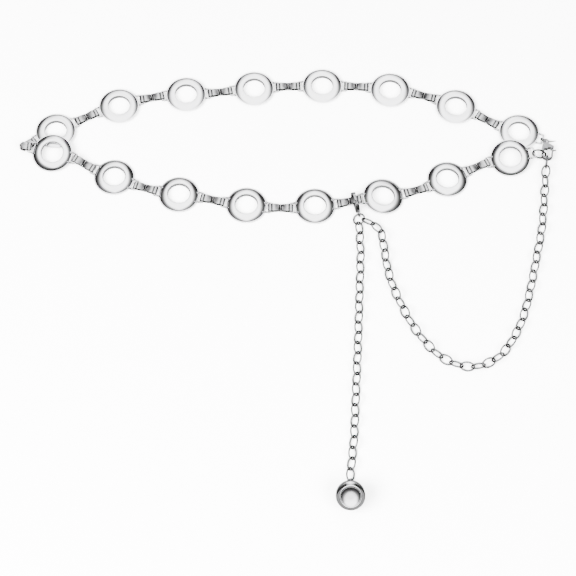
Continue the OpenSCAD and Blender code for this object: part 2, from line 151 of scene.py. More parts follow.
class StripSizes(bpy.types.PropertyGroup):
    """Sizes of the folded strip connectors."""

    fold: length("Fold Radius", "Outer radius of the fold round an ear", 1.32)
    thick: length("Strip Thickness", "Thickness of the strip's metal", 0.5)
    width: length("Strip Width", "Width of a half at its ear", 4.8)
    neck: length("Neck Width", "Width of a half before its strap", 4.6)
    strap: length("Strap Width", "Width of the strap inside the waist loop", 4.0)
    strap_folded: length("Folded Strap Width", "Width of that strap in the folded connector", 1.6)
    strap_long: length("Strap Length", "From the waist to where it has widened to the neck", 1.6)
    crimp_at: length("Crimp Place", "From the ear to the crimp across the strip", 1.15)
    flat_end: length("Flat End", "From the ear to where the strip starts to sink", 2.4)
    crimp: length("Crimp Depth", "Depth of the crimps", 0.4)
    crimp_half: length("Crimp Width", "From a crimp's bottom to its side", 0.45)
    dip: length("Waist Dip", "How far the strip sinks towards the waist", 0.36)
    roll: length("Edge Roll", "How far the strip's edges roll down", 0.2)
    loop_wire: length("Loop Wire", "Diameter of the waist loop's wire", 0.6)
    loop_spare: length("Loop Spare", "How much wider a waist loop is than the solid's", 1.7)
    widening: length("Widening", "Length over which the strap widens to the neck", 0.9)
    # Painted shade: the length over which the strip's colour darkens towards its waist, where the
    # pinched fold lies in shade
    tarnish: length("Tarnish Length", "Length over which the strip darkens towards its waist", 2.4)


class WireSizes(bpy.types.PropertyGroup):
    """Sizes of the chains' links and of the small rings."""

    link_length: length("Link Length", "Overall length of a link", 9.2)
    link_width: length("Link Width", "Overall width of a link", 6.2)
    link_wire: length("Link Wire", "Diameter of a link's wire", 1.1)
    end_length: length("End Ring Length", "Overall length of the oval ring at the belt's end", 9.8)
    swag_ring: length("Tail Ring Diameter", "Across the ring that carries the tail", 8.1)
    drop_ring: length("Drop Ring Diameter", "Across the ring over the drop", 5.6)
    drop_wire: length("Drop Ring Wire", "Diameter of the drop ring's wire", 0.8)
    steps_round: IntProperty(name="Steps Round a Wire", description="Sides of a wire", default=14, min=6)
    steps_turn: IntProperty(
        name="Steps in a Bend", description="Steps in each quarter turn", default=9, min=2
    )
    eye_edge: length("Eye Edge", "Rounding of the edges of the ring in the end clasp's eye", 0.02)


class ClaspSizes(bpy.types.PropertyGroup):
    """Finish of the cast lobster clasps."""

    grain: length("Casting Grain", "Cell of the mesh that the casting is made with", 0.11)
    flow: IntProperty(
        name="Edge Flow", description="How far the casting's edges are rounded", default=7, min=0
    )


class DropSizes(bpy.types.PropertyGroup):
    """Sizes of the round drop."""

    across: length("Diameter", "Across the drop", 16.8)
    lip: length("Lip Diameter", "Across the middle of the raised lip", 12.4)
    lip_wire: length("Lip Wire", "Thickness of the raised lip", 1.0)
    shoulder: length("Shoulder", "Radius of the shoulder round the lip", 1.1)
    shoulder_fall: length("Shoulder Fall", "How far the shoulder lies under the lip", 2.4)
    bowl: length("Bowl Depth", "Depth of the bowl inside the lip", 0.9)
    loop: length("Loop Radius", "Radius of the loop that carries it", 1.3)
    loop_wire: length("Loop Wire", "Diameter of that loop's wire", 0.9)
    lean: degrees("Lean", "How far the mouth leans along the tail", 31)
    loop_dip: degrees("Loop Dip", "How far the loop lies under the drop's middle", 38)


class MetalLook(bpy.types.PropertyGroup):
    """Colours of the plated metals, and the colour of the painted shade on the strips."""

    ring: colour("Ring Plate", "Polished plate of the rings and the drop", (0.62, 0.62, 0.63))
    strip: colour("Strip Plate", "Plate of the folded strips", (0.32, 0.32, 0.325))
    # Painted shade: near-black colour painted at the strips' waists and crimps, where the folds lie in
    # shade
    tarnish: colour("Strip Tarnish", "Tarnish at the strips' waists and crimps", (0.015, 0.015, 0.016))
    clasp: colour("Clasp Plate", "Plate of the clasps", (0.22, 0.22, 0.225))
    wire: colour("Wire Plate", "Plate of the links and small rings", (0.21, 0.21, 0.215))


class StageLook(bpy.types.PropertyGroup):
    """The studio: camera, floor and light."""

    floor: colour("Floor", "Colour of the floor", (0.93, 0.93, 0.93))
    camera_height: length("Camera Height", "Height of the camera over the surface", 1120.9)
    camera_back: length("Camera Distance", "How far in front of the object the camera stands", 577.1)
    aim: length("Aim", "Point on the surface in front of the origin that the camera looks at", 6)
    lens: FloatProperty(
        name="Lens", description="Focal length in mm on a 36 mm wide frame", default=131.25
    )
    floor_size: length("Floor Size", "Side of the floor", 6000)
    floor_gap: length("Floor Gap", "How far the floor lies under the chain", 0.02)
    lamp: FloatProperty(
        name="Lamp Power", description="Power of the larger lamp", default=330.0, unit="POWER"
    )
    sky: FloatProperty(
        name="Sky Strength", description="Strength of the white surroundings", default=8.0
    )
    room: FloatProperty(
        name="Room Strength", description="Strength of the floor in the metal", default=0.7
    )


# Reading the frame


class Solid:
    """One closed solid of a CAD node: its corners, and each face's middle, normal and area."""

    def __init__(self, faces):
        corners = {v for f in faces for v in f.verts}
        self.corners = np.array([v.co[:] for v in corners])
        self.middles = np.array([f.calc_center_median()[:] for f in faces])
        self.normals = np.array([f.normal[:] for f in faces])
        self.areas = np.array([f.calc_area() for f in faces])

    def centre(self):
        """The middle of the surface."""
        return np.average(self.middles, axis=0, weights=self.areas)

    def axes(self):
        """The directions of least, middle and most spread, as columns."""
        around = self.middles - self.centre()
        return np.linalg.eigh((around * self.areas[:, None]).T @ around)[1]


def merged(node):
    """A merged copy of a CAD node's mesh."""
    form = bmesh.new()
    form.from_mesh(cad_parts[node].data)
    bmesh.ops.remove_doubles(form, verts=form.verts, dist=2 * WELD)
    return form


def solids(node):
    """The separate closed solids of a CAD node."""
    form = merged(node)
    left = set(form.faces)
    found = []
    while left:
        group = {left.pop()}
        edge = list(group)
        while edge:
            near = {n for side in edge.pop().edges for n in side.link_faces} - group
            group |= near
            edge.extend(near)
        left -= group
        found.append(Solid(list(group)))
    form.free()
    return found


def turned(x, z):
    """The turn whose x and z axes are the given directions."""
    x = Vector(x).normalized()
    z = Vector(z).normalized()
    y = z.cross(x).normalized()
    return Matrix((y.cross(z), y, z)).transposed()


def link_place(solid):
    """Centre and turn of an oval link: its length along x and its wire's plane in xy."""
    axes = solid.axes()
    return Vector(solid.centre()), turned(axes[:, 2], axes[:, 0])


def ring_place(node, sizes):
    """Centre of a ring's back and its turn: ears along x and the crown along z."""
    solid = solids(node)[0]
    up = solid.axes()[:, 0]
    flat = solid.normals @ up
    if solid.areas[flat > LEVEL].sum() > solid.areas[flat < -LEVEL].sum():
        up = -up
    centre = solid.centre()
    away = solid.corners - centre
    away -= np.outer(away @ up, up)
    reach = np.linalg.norm(away, axis=1)
    ear = away[reach > sizes.outer / 2 + sizes.ear_out]
    ahead = ear[ear @ ear[0] > 0].mean(axis=0)
    behind = ear[ear @ ear[0] < 0].mean(axis=0)
    middle = centre + (ahead + behind) / 2
    height = (solid.corners - centre) @ up
    return Vector(middle + up * height.min()), turned(ahead - behind, up)


# Meshes


def add_object(name, mesh):
    """Links a mesh to the scene as an object at the origin."""
    piece = bpy.data.objects.new(name, mesh)
    bpy.context.scene.collection.objects.link(piece)
    return piece


def from_form(name, form):
    """Turns a bmesh into an object with smooth faces, outward."""
    bmesh.ops.recalc_face_normals(form, faces=form.faces)
    for face in form.faces:
        face.smooth = True
    mesh = bpy.data.meshes.new(name)
    form.to_mesh(mesh)
    form.free()
    return add_object(name, mesh)


def settle(piece, merge=0.0):
    """Turns a piece with live modifiers into a plain mesh."""
    graph = bpy.context.evaluated_depsgraph_get()
    mesh = bpy.data.meshes.new_from_object(piece.evaluated_get(graph))
    old = piece.data
    piece.modifiers.clear()
    piece.data = mesh
    mesh.name = piece.name
    bpy.data.meshes.remove(old)
    if merge:
        form = bmesh.new()
        form.from_mesh(mesh)
        bmesh.ops.remove_doubles(form, verts=form.verts, dist=merge)
        bmesh.ops.recalc_face_normals(form, faces=form.faces)
        form.to_mesh(mesh)
        form.free()
    return piece


def lathe(form, section, steps, place=Matrix()):
    """Turns a closed section of (radius, height) points round z."""
    rows = []
    for k in range(steps):
        angle = math.tau * k / steps
        rows.append([
            form.verts.new(place @ Vector((r * math.cos(angle), r * math.sin(angle), z)))
            for r, z in section
        ])
    for k in range(steps):
        here, there = rows[k], rows[(k + 1) % steps]
        for j in range(len(section)):
            n = (j + 1) % len(section)
            form.faces.new((here[j], there[j], there[n], here[n]))


def sweep(form, path, radius, steps, closed=False, up=Vector((0, 0, 1))):
    """Sweeps a round section along a path."""
    rings = []
    count = len(path)
    for k, point in enumerate(path):
        before = path[k - 1] if closed or k else path[0]
        after = path[(k + 1) % count] if closed or k < count - 1 else path[-1]
        side = (after - before).normalized().cross(up).normalized()
        rings.append([
            form.verts.new(point + radius * (math.cos(a) * side + math.sin(a) * up))
            for a in (math.tau * j / steps for j in range(steps))
        ])
    for k in range(count if closed else count - 1):
        here, there = rings[k], rings[(k + 1) % count]
        for j in range(steps):
            n = (j + 1) % steps
            form.faces.new((here[j], here[n], there[n], there[j]))
    if not closed:
        form.faces.new(rings[0])
        form.faces.new(rings[-1])


def arc(centre, radius, start, end, steps, height=0.0):
    """Points along an arc in the xy plane, from start to end degrees."""
    return [
        Vector((
            centre[0] + radius * math.cos(math.radians(start + (end - start) * k / steps)),
            centre[1] + radius * math.sin(math.radians(start + (end - start) * k / steps)),
            height,
        ))
        for k in range(steps + 1)
    ]


# Nodes


def add_node(tree, kind, inputs=(), **settings):
    """Adds a node to a tree, with its settings and its inputs by name or number."""
    node = tree.nodes.new(kind)
    for key, value in settings.items():
        setattr(node, key, value)
    for key, value in dict(inputs).items():
        if isinstance(value, bpy.types.NodeSocket):
            tree.links.new(value, node.inputs[key])
        else:
            node.inputs[key].default_value = value
    return node


class Tree:
    """Builds a Geometry Nodes tree with named inputs, one node at a time."""

    def __init__(self, name):
        self.tree = bpy.data.node_groups.new(name, "GeometryNodeTree")
        self.inputs = {}
        self.socket("Places", "NodeSocketGeometry")
        self.tree.interface.new_socket("Geometry", in_out="OUTPUT", socket_type="NodeSocketGeometry")
        self.source = self.tree.nodes.new("NodeGroupInput")
        self.sink = self.tree.nodes.new("NodeGroupOutput")

    def socket(self, name, kind):
        """Adds a named input."""
        made = self.tree.interface.new_socket(name, in_out="INPUT", socket_type=kind)
        self.inputs[name] = made.identifier

    def given(self, name):
        """The output that carries a named input."""
        return self.source.outputs[name]

    def node(self, kind, inputs=(), **settings):
        """Adds a node, with its settings and its inputs by name or number."""
        return add_node(self.tree, kind, inputs, **settings)

    def math(self, operation, a, b):
        """Adds a Math node and returns its result."""
        return self.node("ShaderNodeMath", {0: a, 1: b}, operation=operation).outputs[0]

    def set_out(self, form):
        """Ends the tree: the form on every place, turned as the place says, and in its metal."""
        turn = self.node("GeometryNodeInputNamedAttribute", {"Name": "turn"}, data_type="QUATERNION")
        placed = self.node("GeometryNodeInstanceOnPoints", {
            "Points": self.given("Places"), "Instance": form, "Rotation": turn.outputs["Attribute"],
        })
        whole = self.node("GeometryNodeRealizeInstances", {"Geometry": placed.outputs["Instances"]})
        dressed = self.node("GeometryNodeSetMaterial", {
            "Geometry": whole.outputs["Geometry"], "Material": self.given("Metal"),
        })
        self.tree.links.new(dressed.outputs["Geometry"], self.sink.inputs["Geometry"])


def wire_tree():
    """Oval wire links, swept with round wire."""
    t = Tree("Oval Links")
    for name in ("Length", "Width", "Wire"):
        t.socket(name, "NodeSocketFloat")
    for name in ("Bend Steps", "Wire Steps"):
        t.socket(name, "NodeSocketInt")
    t.socket("Metal", "NodeSocketMaterial")
    along = t.math("SUBTRACT", t.given("Length"), t.given("Wire"))
    across = t.math("SUBTRACT", t.given("Width"), t.given("Wire"))
    round_turn = t.node("GeometryNodeCurvePrimitiveCircle", {
        "Resolution": t.math("MULTIPLY", t.given("Bend Steps"), 4), "Radius": 0.5,
    })
    scale = t.node("ShaderNodeCombineXYZ", {"X": along, "Y": across, "Z": 1.0})
    bent = t.node("GeometryNodeTransform", {
        "Geometry": round_turn.outputs["Curve"], "Scale": scale.outputs["Vector"],
    })
    wire = t.node("GeometryNodeCurvePrimitiveCircle", {
        "Resolution": t.given("Wire Steps"), "Radius": t.math("MULTIPLY", t.given("Wire"), 0.5),
    })
    link = t.node("GeometryNodeCurveToMesh", {
        "Curve": bent.outputs["Geometry"], "Profile Curve": wire.outputs["Curve"],
    })
    smooth = t.node("GeometryNodeSetShadeSmooth", {"Geometry": link.outputs["Mesh"]})
    t.set_out(smooth.outputs["Geometry"])
    return t


def form_tree():
    """A made form set out on every place."""
    t = Tree("Set Out Forms")
    t.socket("Form", "NodeSocketObject")
    t.socket("Metal", "NodeSocketMaterial")
    form = t.node("GeometryNodeObjectInfo", {"Object": t.given("Form")})
    t.set_out(form.outputs["Geometry"])
    return t


def grow(name, tree, places, merge=0.0, **values):
    """Runs a tree on a list of (centre, turn) places and returns the result as a plain piece."""
    mesh = bpy.data.meshes.new(name)
    mesh.from_pydata([centre[:] for centre, _ in places], [], [])
    turns = mesh.attributes.new("turn", "QUATERNION", "POINT")
    for k, (_, turn) in enumerate(places):
        turns.data[k].value = turn.to_quaternion()
    piece = add_object(name, mesh)
    step = piece.modifiers.new("Set Out", "NODES")
    step.node_group = tree.tree
    for key, value in values.items():
        step[tree.inputs[key.replace("_", " ")]] = value
    return settle(piece, merge)


# Materials


def plate_group():
    """Shader group: the slow mottle and fine hairlines of worn plating."""
    tree = bpy.data.node_groups.new("Plating", "ShaderNodeTree")
    for name, kind in (
        ("Plate", "NodeSocketColor"), ("Cloud", "NodeSocketColor"),
        ("Cloud Amount", "NodeSocketFloat"), ("Cloud Size", "NodeSocketFloat"),
        ("Gloss", "NodeSocketFloat"), ("Gloss Spread", "NodeSocketFloat"),
        ("Hairline Size", "NodeSocketFloat"), ("Hairline Depth", "NodeSocketFloat"),
    ):
        tree.interface.new_socket(name, in_out="INPUT", socket_type=kind)
    for name, kind in (
        ("Colour", "NodeSocketColor"), ("Roughness", "NodeSocketFloat"), ("Normal", "NodeSocketVector"),
    ):
        tree.interface.new_socket(name, in_out="OUTPUT", socket_type=kind)
    given = add_node(tree, "NodeGroupInput").outputs
    place = add_node(tree, "ShaderNodeTexCoord").outputs["Object"]

    cloud = add_node(tree, "ShaderNodeTexNoise", {
        "Vector": place, "Scale": given["Cloud Size"], "Detail": 3.0,
    }).outputs["Fac"]
    amount = add_node(tree, "ShaderNodeMath", {0: cloud, 1: given["Cloud Amount"]}, operation="MULTIPLY")
    tint = add_node(tree, "ShaderNodeMix", {
        "Factor": amount.outputs[0], 6: given["Plate"], 7: given["Cloud"],
    }, data_type="RGBA")
    rough = add_node(tree, "ShaderNodeMath", {
        0: cloud, 1: given["Gloss Spread"], 2: given["Gloss"],
    }, operation="MULTIPLY_ADD")

    stretch = add_node(tree, "ShaderNodeMapping", {
        "Vector": place, "Scale": (1.0, 7.0, 3.0), "Rotation": (0.3, 0.2, 0.6),
    })
    hair = add_node(tree, "ShaderNodeTexNoise", {
        "Vector": stretch.outputs["Vector"], "Scale": given["Hairline Size"], "Detail": 2.0,
    })
    bump = add_node(tree, "ShaderNodeBump", {
        "Strength": 1.0, "Distance": given["Hairline Depth"], "Height": hair.outputs["Fac"],
    })
    add_node(tree, "NodeGroupOutput", {
        "Colour": tint.outputs[2], "Roughness": rough.outputs[0], "Normal": bump.outputs["Normal"],
    })
    return tree


def metal(name, plate, cloud=0.72, amount=0.25, size=420.0, gloss=0.06, spread=0.06):
    """A plated metal: its colour, how its colour and gloss wander, and its hairlines."""
    made = bpy.data.materials.get(name)
    if made:
        return made
    made = bpy.data.materials.new(name)
    made.use_nodes = True
    made.diffuse_color = (*plate, 1.0)
    tree = made.node_tree
    worn = add_node(tree, "ShaderNodeGroup", {
        "Plate": (*plate, 1.0), "Cloud": (*(c * cloud for c in plate), 1.0), "Cloud Amount": amount,
        "Cloud Size": size, "Gloss": gloss, "Gloss Spread": spread,
        "Hairline Size": HAIRLINE_SIZE, "Hairline Depth": HAIRLINE_DEPTH,
    }, node_tree=bpy.data.node_groups.get("Plating") or plate_group())
    shader = tree.nodes["Principled BSDF"]
    shader.inputs["Metallic"].default_value = 1.0
    for key, effect in (("Base Color", "Colour"), ("Roughness", "Roughness"), ("Normal", "Normal")):
        tree.links.new(worn.outputs[effect], shader.inputs[key])
    return made


def ring_metal():
    """The bright plate of the rings and the drop."""
    return metal("ring_plate", bpy.context.scene.chain_metal.ring[:], gloss=0.07, spread=0.05)


def strip_metal():
    """The strips' plate, with painted shade where the mesh says so."""
    look = bpy.context.scene.chain_metal
    made = metal(
        "strip_plate", look.strip[:], cloud=0.4, amount=0.7, size=700.0, gloss=0.12, spread=0.12
    )
    tree = made.node_tree
    if "Tarnish" in tree.nodes:
        return made
    worn = next(node for node in tree.nodes if node.type == "GROUP")
    # Painted shade: the mesh's attribute, broken up by noise, mixes the plate towards the near-black
    # painted shade colour
    where = add_node(tree, "ShaderNodeAttribute", name="Tarnish", attribute_name="tarnish")
    place = add_node(tree, "ShaderNodeTexCoord").outputs["Object"]
    patchy = add_node(tree, "ShaderNodeTexNoise", {"Vector": place, "Scale": 420.0})
    spread = add_node(tree, "ShaderNodeMapRange", {
        "Value": patchy.outputs["Fac"], "From Min": 0.25, "From Max": 0.6, "To Min": 0.45, "To Max": 1.0,
    })
    amount = add_node(tree, "ShaderNodeMath", {
        0: where.outputs["Fac"], 1: spread.outputs["Result"],
    }, operation="MULTIPLY")
    tint = add_node(tree, "ShaderNodeMix", {
        "Factor": amount.outputs[0], 6: worn.outputs["Colour"], 7: (*look.tarnish, 1.0),
    }, data_type="RGBA")
    tree.links.new(tint.outputs[2], tree.nodes["Principled BSDF"].inputs["Base Color"])
    return made


def clasp_metal():
    """The darker plate of the cast clasps."""
    plate = bpy.context.scene.chain_metal.clasp[:]
    return metal("clasp_plate", plate, cloud=0.3, amount=0.6, size=600.0, gloss=0.12, spread=0.08)


def wire_metal():
    """The plate of the links and small rings."""
    plate = bpy.context.scene.chain_metal.wire[:]
    return metal("wire_plate", plate, cloud=0.3, amount=0.75, size=380.0, gloss=0.2)


def finish_piece(piece, body, slot, *nodes):
    """Puts a finished piece on its body, in the place of its CAD nodes."""
    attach(piece, body)
    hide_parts(*nodes)


# Pieces


def ring_section(s):
    """Section of a ring as (radius, height) points: crown, face, hole, back and rim."""
    outer, inner, crest = s.outer / 2, s.hole / 2, s.outer / 2 - s.shoulder
    brow, start, flat = outer - s.rim, inner + s.hole_bevel, outer - s.back_round
    steps = [k / DOME_STEPS for k in range(DOME_STEPS + 1)]
    crown = [(crest + (brow - crest) * t, s.thick - s.crown * t ** DOME) for t in steps[::-1]]
    face = [(crest + (start - crest) * t, s.thick - s.fall * t ** FACE_DOME) for t in steps[2::2]]
    bevel = arc((start, s.thick - s.fall - s.hole_bevel), s.hole_bevel, 100, 180, 6)
    inside = arc((inner + s.corner, s.corner), s.corner, 180, 270, 4)
    back = [(flat + (brow - flat) * t, s.back_rise * t ** DOME) for t in steps]
    high, low = s.thick - s.crown, s.back_rise
    middle, half = (high + low) / 2, (high - low) / 2
    rim = [(brow + s.rim * p.x, middle + half * p.y) for p in arc((0, 0), 1.0, -80, 80, 12)]
    return crown + face + [(p.x, p.y) for p in bevel + inside] + back + rim


def ear_path(s):
    """The bent wire of an ear, from rim to rim."""
    wide = (s.ear_gap + s.ear_wire) / 2
    bend = s.ear_wire
    start = s.outer / 2 - s.ear_root
    reach = s.outer / 2 + s.ear_out
    low = arc((reach - bend, bend - wide), bend, -90, 0, 8, s.ear_height)
    high = arc((reach - bend, wide - bend), bend, 0, 90, 8, s.ear_height)
    foot, end = Vector((start, -wide, s.ear_height)), Vector((start, wide, s.ear_height))
    return [foot] + low + high + [end]


def ring_form(s):
    """One ring with its two ears and the solder at their feet."""
    form = bmesh.new()
    lathe(form, ring_section(s), TURN_STEPS)
    path = ear_path(s)
    wide = (s.ear_gap + s.ear_wire) / 2
    foot = math.sqrt((s.outer / 2) ** 2 - wide ** 2)
    for side in (1, -1):
        turn = Matrix.Rotation(0.0 if side > 0 else math.pi, 3, "Z")
        sweep(form, [turn @ p for p in path], s.ear_wire / 2, WIRE_SIDES)
        for y in (wide, -wide):
            spot = Matrix.Translation(turn @ Vector((foot, y, s.ear_height)))
            spot @= Matrix.Diagonal((s.solder_flat, 1.0, s.solder_flat, 1.0))
            bmesh.ops.create_icosphere(form, subdivisions=3, radius=s.solder / 2, matrix=spot)
    return from_form("ring_form", form)


class CHAIN_OT_rings(bpy.types.Operator):
    """Make the crowned rings with their wire ears."""

    bl_idname = "chain.rings"
    bl_label = "Crowned Rings"

    def execute(self, context):
        sizes = context.scene.chain_ring
        form = ring_form(sizes)
        tree = form_tree()
        for name, nodes in (("near_rings", NEAR_RINGS), ("far_rings", FAR_RINGS)):
            places = [ring_place(node, sizes) for node in nodes]
            piece = grow(name, tree, places, Form=form, Metal=ring_metal())
            finish_piece(piece, BELT, "polished_metal", *nodes)
        bpy.data.objects.remove(form)
        return {"FINISHED"}


def rounded_copy(name, node, width, material):
    """Copies a CAD node, its flats made whole and its cut edges rounded."""
    form = merged(node)
    bmesh.ops.dissolve_limit(
        form, angle_limit=FLAT_TURN, use_dissolve_boundaries=False, verts=form.verts, edges=form.edges
    )
    piece = from_form(name, form)
    piece.data.materials.append(material)
    bevel = piece.modifiers.new("Edges", "BEVEL")
    bevel.width = width
    bevel.segments = 2
    bevel.limit_method = "ANGLE"
    bevel.angle_limit = SHARP_TURN
    bevel.use_clamp_overlap = True
    even = piece.modifiers.new("Even", "WEIGHTED_NORMAL")
    even.keep_sharp = False
    return settle(piece)


def held(value):
    """A value kept between 0 and 1."""
    return min(max(value, 0.0), 1.0)


def eased(value):
    """A smooth step from 0 to 1."""
    t = held(value)
    return t * t * (3 - 2 * t)


def crimped(s, x):
    """How deep in a crimp a place along the strip is, from 0 to 1."""
    return held(1 - abs(x - s.crimp_at) / s.crimp_half)


def fold_line(s, long):
    """Side view of a half: its outer and its inner (x, height) points, matching, all the way round."""
    end = s.fold - s.dip
    far = long - end

    def height(x):
        return s.fold - s.dip * eased((x - s.flat_end) / (far - s.flat_end))

    outer, inner = [], []
    for k in range(FOLD_STEPS + 1):
        angle = math.pi / 2 + math.pi / 2 * k / FOLD_STEPS
        for points, radius in ((outer, s.fold), (inner, s.fold - s.thick)):
            points.append((radius * math.cos(angle), radius * math.sin(angle)))
    outer, inner = outer[::-1], inner[::-1]
    for k in range(1, FLAT_STEPS):
        x = far * k / FLAT_STEPS
        outer.append((x, height(x) - s.crimp * crimped(s, x)))
        inner.append((x, height(x) - s.thick))
    for k in range(WAIST_STEPS + 1):
        angle = math.pi / 2 * (1 - k / WAIST_STEPS)
        for points, radius in ((outer, end), (inner, end - s.thick)):
            points.append((far + radius * math.cos(angle), radius * math.sin(angle)))
    return [side + [(x, -z) for x, z in side[-2:0:-1]] for side in (outer, inner)]


def add_half(form, place, long, s, strap):
    """Adds one folded half: its ear fold at the origin and its strap along x."""
    # Layer that holds the painted shade of each corner
    shade = form.verts.layers.float.get("tarnish") or form.verts.layers.float.new("tarnish")
    start = long - s.strap_long

    def width(x):
        body = s.width + (s.neck - s.width) * held(x / start)
        return body + (strap - body) * eased((x - start) / s.widening)

    sheets = []
    for line, rolled in zip(fold_line(s, long), (s.roll, 0.0)):
        sheet = []
        for x, z in line:
            row = []
            for v in STRIP_ACROSS:
                lower = 1 - rolled * v ** 4 / s.fold
                vert = form.verts.new(place @ Vector((x, v * width(x) / 2, z * lower)))
                # Painted shade: rises towards the waist over its length, and is darker in the crimp on
                # the top side, where the fold and the crimp lie in shade
                deep = held((x - start + s.tarnish) / s.tarnish)
                vert[shade] = max(deep, CRIMP_SHADE * crimped(s, x) if z > 0 else 0.0)
                row.append(vert)
            sheet.append(row)
        sheets.append(sheet)
    count, last = len(sheets[0]), len(STRIP_ACROSS) - 1
    for k in range(count):
        n = (k + 1) % count
        for sheet in sheets:
            for j in range(last):
                form.faces.new((sheet[k][j], sheet[n][j], sheet[n][j + 1], sheet[k][j + 1]))
        for j in (0, last):
            form.faces.new((sheets[0][k][j], sheets[0][n][j], sheets[1][n][j], sheets[1][k][j]))


def half_place(solid, s):
    """Place of a folded half, its ear fold at the origin and its strap along x, and its length."""
    axes = solid.axes()
    x, z = axes[:, 2], axes[:, 0]
    if z[2] < 0:
        z = -z
    local = (solid.corners - solid.centre()) @ np.column_stack((x, np.cross(z, x), z))
    reach = local[:, 0]
    ends = reach < reach.min() + MM, reach > reach.max() - MM
    wide = [np.abs(local[end, 1]).max() for end in ends]
    if wide[0] < wide[1]:
        x, local = -x, local * np.array((-1.0, -1.0, 1.0))
        reach = local[:, 0]
    turn = turned(x, z)
    middle = (local.max(axis=0) + local.min(axis=0)) / 2
    middle[0] = reach.min() + s.fold
    place = Matrix.Translation(Vector(solid.centre()) + turn @ Vector(middle)) @ turn.to_4x4()
    return place, reach.max() - reach.min() - s.fold


def add_loop(form, solid, ahead, spare, s):
    """Adds the wire loop that joins two straps: as long as the solid, and wider by the spare."""
    up = Vector(solid.axes()[:, 0])
    turn = turned(ahead - up * ahead.dot(up), up)
    local = (solid.corners - solid.centre()) @ np.array(turn)
    long, wide, wire = (float(d) for d in local.max(axis=0) - local.min(axis=0))
    if spare:
        wire, wide = s.loop_wire, wide + spare
    x, y = (long - wire) / 2, (wide - wire) / 2
    bend = wire * LOOP_BEND
    path = []
    for k, (sx, sy) in enumerate(((1, 1), (-1, 1), (-1, -1), (1, -1))):
        path += arc((sx * (x - bend), sy * (y - bend)), bend, 90 * k, 90 * (k + 1), 6)
    place = Matrix.Translation(solid.centre()) @ turn.to_4x4()
    count = len(form.verts)
    sweep(form, path, wire / 2, LOOP_SIDES, closed=True)
    form.verts.ensure_lookup_table()
    bmesh.ops.transform(form, matrix=place, verts=form.verts[count:])


class CHAIN_OT_strips(bpy.types.Operator):
    """Make the folded strip connectors and their waist loops."""

    bl_idname = "chain.strips"
    bl_label = "Strip Connectors"

    def execute(self, context):
        sizes = context.scene.chain_strip
        for name, nodes in (("near_connectors", NEAR_LINKS), ("far_connectors", FAR_LINKS)):
            form = bmesh.new()
            for node in nodes:
                folded = node == "fold_link"
                strap = sizes.strap_folded if folded else sizes.strap
                parts = sorted(solids(node), key=lambda part: -part.areas.sum())
                places = [half_place(part, sizes) for part in parts[:2]]
                for place, long in places:
                    add_half(form, place, long, sizes, strap)
                ahead, spare = Vector((0, 0, 1)), 0.0
                if not folded:
                    ahead = places[1][0].translation - places[0][0].translation
                    spare = sizes.loop_spare
                add_loop(form, parts[2], ahead, spare, sizes)
            piece = from_form(name, form)
            piece.data.materials.append(strip_metal())
            finish_piece(piece, BELT, "strip_metal", *nodes)
        return {"FINISHED"}


class CHAIN_OT_wires(bpy.types.Operator):
    """Make the chains and the small rings from round wire."""

    bl_idname = "chain.wires"
    bl_label = "Chains and Small Rings"

    def execute(self, context):
        s = context.scene.chain_wire
        tree = wire_tree()
        kinds = (
            ("swag_links", "swag_chain", s.link_length, s.link_width, s.link_wire),
            ("tail_links", "tail_chain", s.link_length, s.link_width, s.link_wire),
            ("belt_end_ring", "end_ring", s.end_length, s.link_width, s.link_wire),
            ("tail_ring", "swag_ring", s.swag_ring, s.swag_ring, s.link_wire),
            ("drop_jump_ring", "drop_ring", s.drop_ring, s.drop_ring, s.drop_wire),
        )
        for name, node, long, wide, wire in kinds:
            places = [link_place(solid) for solid in solids(node)]
            piece = grow(
                name, tree, places, merge=WELD, Length=long, Width=wide, Wire=wire,
                Bend_Steps=s.steps_turn, Wire_Steps=s.steps_round, Metal=wire_metal(),
            )
            finish_piece(piece, BELT, "chain_metal", node)
        loop = rounded_copy("eye_loop", "end_eye_ring", s.eye_edge, wire_metal())
        finish_piece(loop, BELT, "chain_metal", "end_eye_ring")
        return {"FINISHED"}


def cast_copy(name, node, s, material):
    """Copies a CAD node as a casting, its edges flowed round."""
    piece = from_form(name, merged(node))
    piece.data.materials.append(material)
    cast = piece.modifiers.new("Cast", "REMESH")
    cast.mode = "VOXEL"
    cast.voxel_size = s.grain
    cast.use_smooth_shade = True
    flow = piece.modifiers.new("Flow", "SMOOTH")
    flow.factor = 0.5
    flow.iterations = s.flow
    return settle(piece)


class CHAIN_OT_clasps(bpy.types.Operator):
    """Make the two lobster clasps and their gates."""

    bl_idname = "chain.clasps"
    bl_label = "Lobster Clasps"

    def execute(self, context):
        for name, node, body in (
            ("end_clasp_casting", "end_clasp", BELT), ("end_clasp_gate", "end_lever", "end_gate"),
            ("swag_clasp_casting", "swag_clasp", BELT), ("swag_clasp_gate", "swag_lever", "swag_gate"),
        ):
            piece = cast_copy(name, node, context.scene.chain_clasp, clasp_metal())
            finish_piece(piece, body, "clasp_metal", node)
        return {"FINISHED"}


def drop_section(s):
    """Section of the drop as (radius, height) points: back, shoulder, lip and bowl."""
    outer, lip, bead = s.across / 2, s.lip / 2, s.lip_wire / 2
    top = math.sqrt(outer ** 2 - lip ** 2)
    outside = arc((0, 0), outer, POLE, 8, 34)
    shoulder = arc((outer - s.shoulder, top - s.shoulder_fall), s.shoulder, 0, 62, 10)
    crest = arc((lip, top), bead, 20, 200, 16)
    edge, rim = lip - bead, top - 0.3 * bead
    steps = [k / BOWL_STEPS for k in range(BOWL_STEPS, -1, -1)]
    inside = [(edge * t, rim - s.bowl * (1 - t ** BOWL_DOME)) for t in steps]
    return [(p.x, p.y) for p in outside + shoulder + crest] + inside


